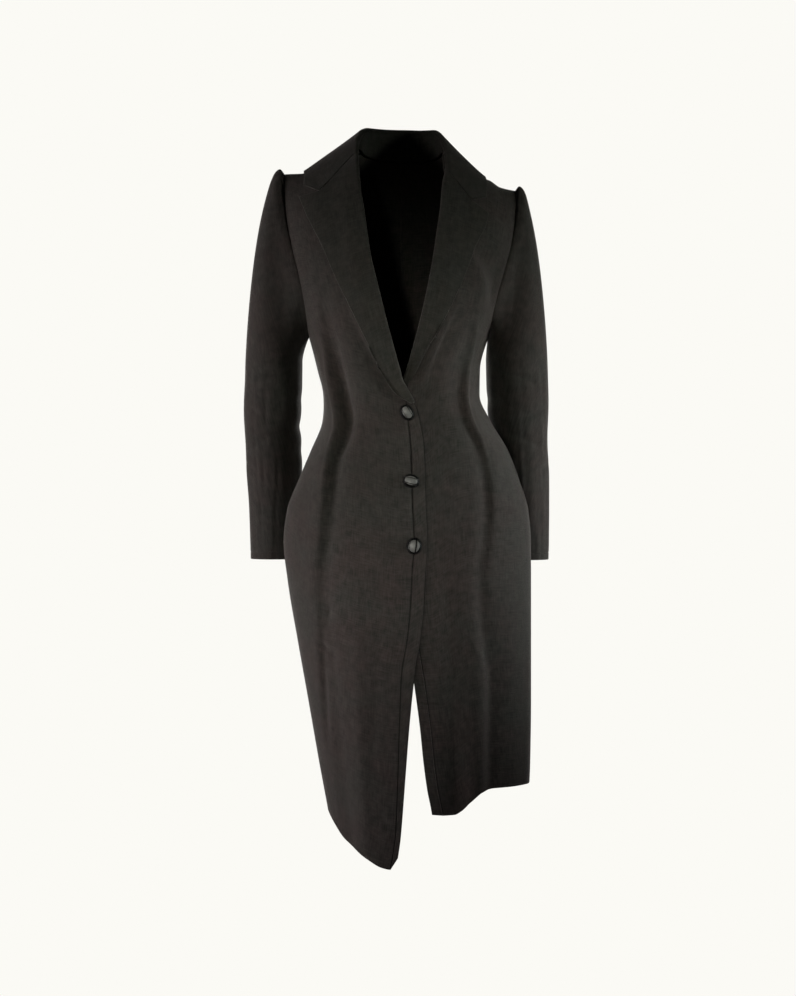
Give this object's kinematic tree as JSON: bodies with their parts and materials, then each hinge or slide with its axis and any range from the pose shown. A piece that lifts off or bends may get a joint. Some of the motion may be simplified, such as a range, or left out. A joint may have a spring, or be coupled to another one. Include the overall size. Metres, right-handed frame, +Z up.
{
  "type": "overcoat",
  "caption": "Fitted knee-length overcoat in dark cloth with notched lapels, eased sleeves, waist darts, cutaway front and back vent, open and hollow in its worn shape.",
  "frame": {"origin": "level with the outer ends of the shoulder seams and midway between them, in the plane of the side seams, where the wearer's shoulders carry the coat", "axes": "+Z up the wearer's body, +X towards the wearer's left, -Y out of the front"},
  "size_m": [0.4913, 0.2608, 1.162],
  "materials": {
    "cloth": "matt woven charcoal cloth with a faint warm cast",
    "turned_cloth": "the same cloth, interfaced, with pressed edges",
    "button": "dark, glossy knot buttons"
  },
  "bodies": {
    "root": {"front_right": "cloth", "front_left": "cloth", "back_right": "cloth", "back_left": "cloth", "front_band_right": "cloth", "front_band_left": "cloth", "sleeve_right": "cloth", "sleeve_left": "cloth", "lapel_right": "turned_cloth", "lapel_left": "turned_cloth", "collar": "turned_cloth", "button_1": "button", "button_2": "button", "button_3": "button"}
  },
  "joints": []
}
